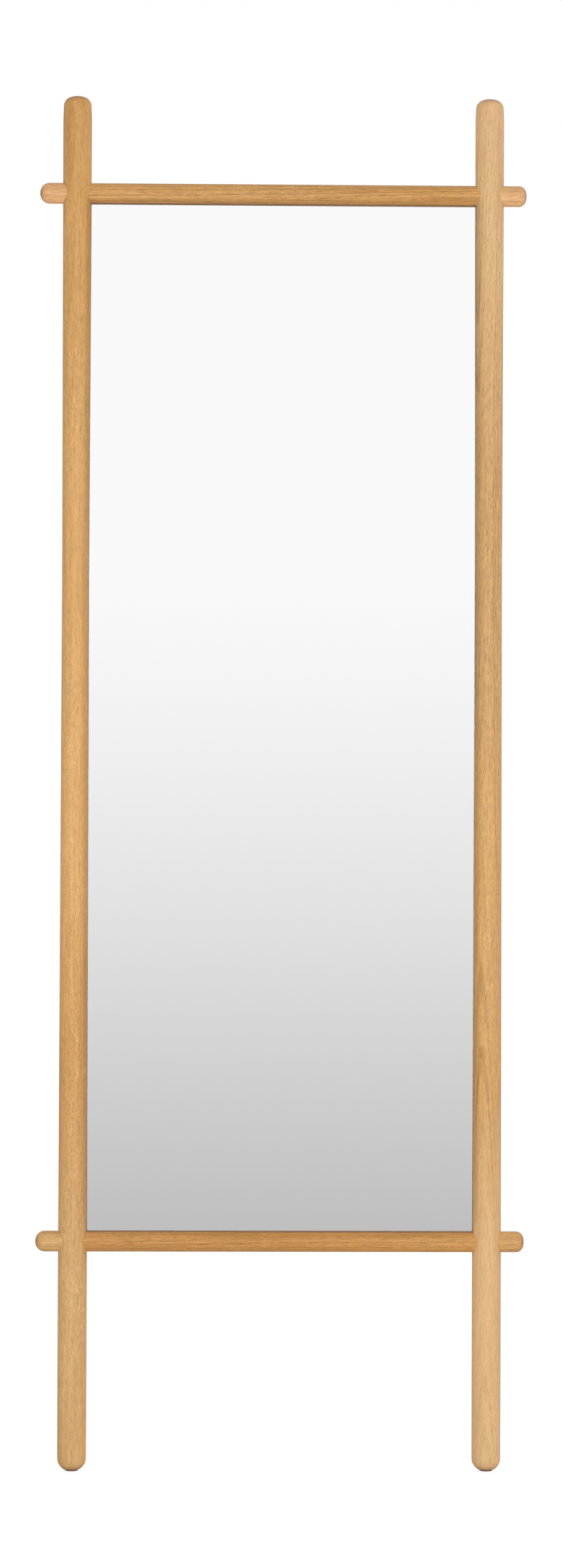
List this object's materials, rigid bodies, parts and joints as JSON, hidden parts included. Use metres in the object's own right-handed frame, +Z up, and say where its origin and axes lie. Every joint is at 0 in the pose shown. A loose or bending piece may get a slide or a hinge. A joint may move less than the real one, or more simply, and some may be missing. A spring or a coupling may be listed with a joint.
{
  "type": "leaning floor mirror",
  "caption": "Leaning floor mirror: tall mirror glass in a frame of round oak posts, crossed by thinner round rails with domed ends; wall bumpers and tie rings at the back.",
  "frame": {"origin": "on the floor midway between the two feet, with the frame held upright; it is also the bottom centre of the bounding box", "axes": "+X to the right as seen from the front, +Y from the mirror's face towards the wall behind it, +Z up along the posts; the mirror looks along -Y. In use the whole frame leans back about 5 degrees about X until the bumpers meet the wall"},
  "size_m": [0.65, 0.0402, 1.83],
  "materials": {
    "oak_posts": "satin",
    "oak_rails": "satin",
    "oak_knobs": "satin",
    "beech_dowels": "matte",
    "mirror": "polished",
    "film": "matte",
    "fibreboard": "matte",
    "zinc_screws": "satin",
    "zinc_hangers": "satin",
    "rubber_pads": "matte",
    "dark_glides": "matte",
    "soft_bumpers": "matte"
  },
  "bodies": {
    "frame": {"left_post": "oak_posts", "right_post": "oak_posts", "top_rail": "oak_rails", "bottom_rail": "oak_rails", "top_left_knob": "oak_knobs", "top_right_knob": "oak_knobs", "bottom_left_knob": "oak_knobs", "bottom_right_knob": "oak_knobs", "top_left_dowel": "beech_dowels", "top_right_dowel": "beech_dowels", "bottom_left_dowel": "beech_dowels", "bottom_right_dowel": "beech_dowels", "mirror_glass": "mirror", "safety_film": "film", "back_panel": "fibreboard", "back_panel_screws": "zinc_screws", "left_setting_pad": "rubber_pads", "left_foot_glide": "dark_glides", "left_foot_screw": "zinc_screws", "left_wall_bumper": "soft_bumpers", "left_hanger_strap": "zinc_hangers", "left_hanger_screws": "zinc_screws", "right_setting_pad": "rubber_pads", "right_foot_glide": "dark_glides", "right_foot_screw": "zinc_screws", "right_wall_bumper": "soft_bumpers", "right_hanger_strap": "zinc_hangers", "right_hanger_screws": "zinc_screws"},
    "left_ring": {"left_hanger_ring": "zinc_hangers"},
    "right_ring": {"right_hanger_ring": "zinc_hangers"}
  },
  "joints": [
    {"name": "left_ring_swing", "type": "hinge", "parent": "frame", "child": "left_ring", "pos_m": [-0.2755, 0.01781, 1.738], "axis": [1, 0, 0], "range_deg": [-2, 170]},
    {"name": "right_ring_swing", "type": "hinge", "parent": "frame", "child": "right_ring", "pos_m": [0.2755, 0.01781, 1.738], "axis": [1, 0, 0], "range_deg": [-2, 170]}
  ]
}
